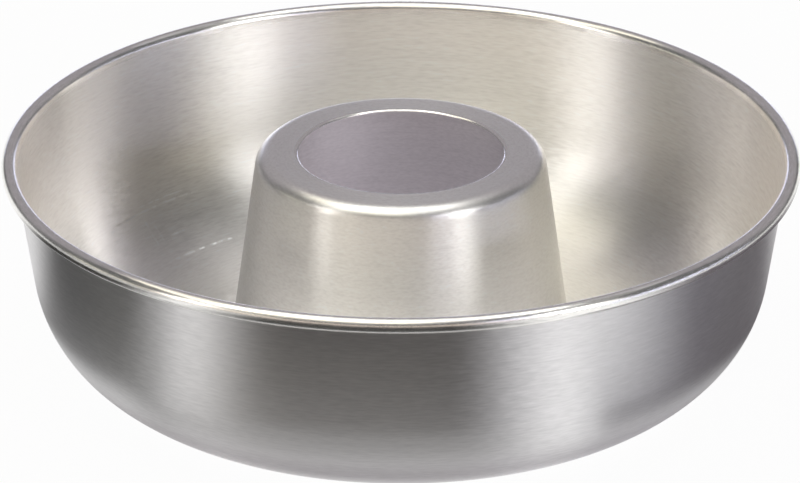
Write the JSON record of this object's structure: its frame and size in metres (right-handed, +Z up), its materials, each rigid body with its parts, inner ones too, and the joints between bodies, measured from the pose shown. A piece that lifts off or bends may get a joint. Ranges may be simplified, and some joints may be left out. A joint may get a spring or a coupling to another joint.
{
  "type": "savarin mould",
  "caption": "Round metal ring mould for savarins: a drawn trough round a tall pierced cone, open at the top, with a rolled and wired rim.",
  "frame": {"origin": "centre of the base, on the surface that the mould stands on", "axes": "+Z up along the mould's axis, out of the open trough; X and Y lie in the table and are alike, because the mould is turned"},
  "size_m": [0.24, 0.24, 0.0702],
  "materials": {
    "satin_sheet": "bare aluminium, satin, finely brushed round the axis",
    "rim_wire": "drawn steel wire, dull"
  },
  "bodies": {
    "root": {"mould_body": "satin_sheet", "rim_wire": "rim_wire"}
  },
  "joints": []
}
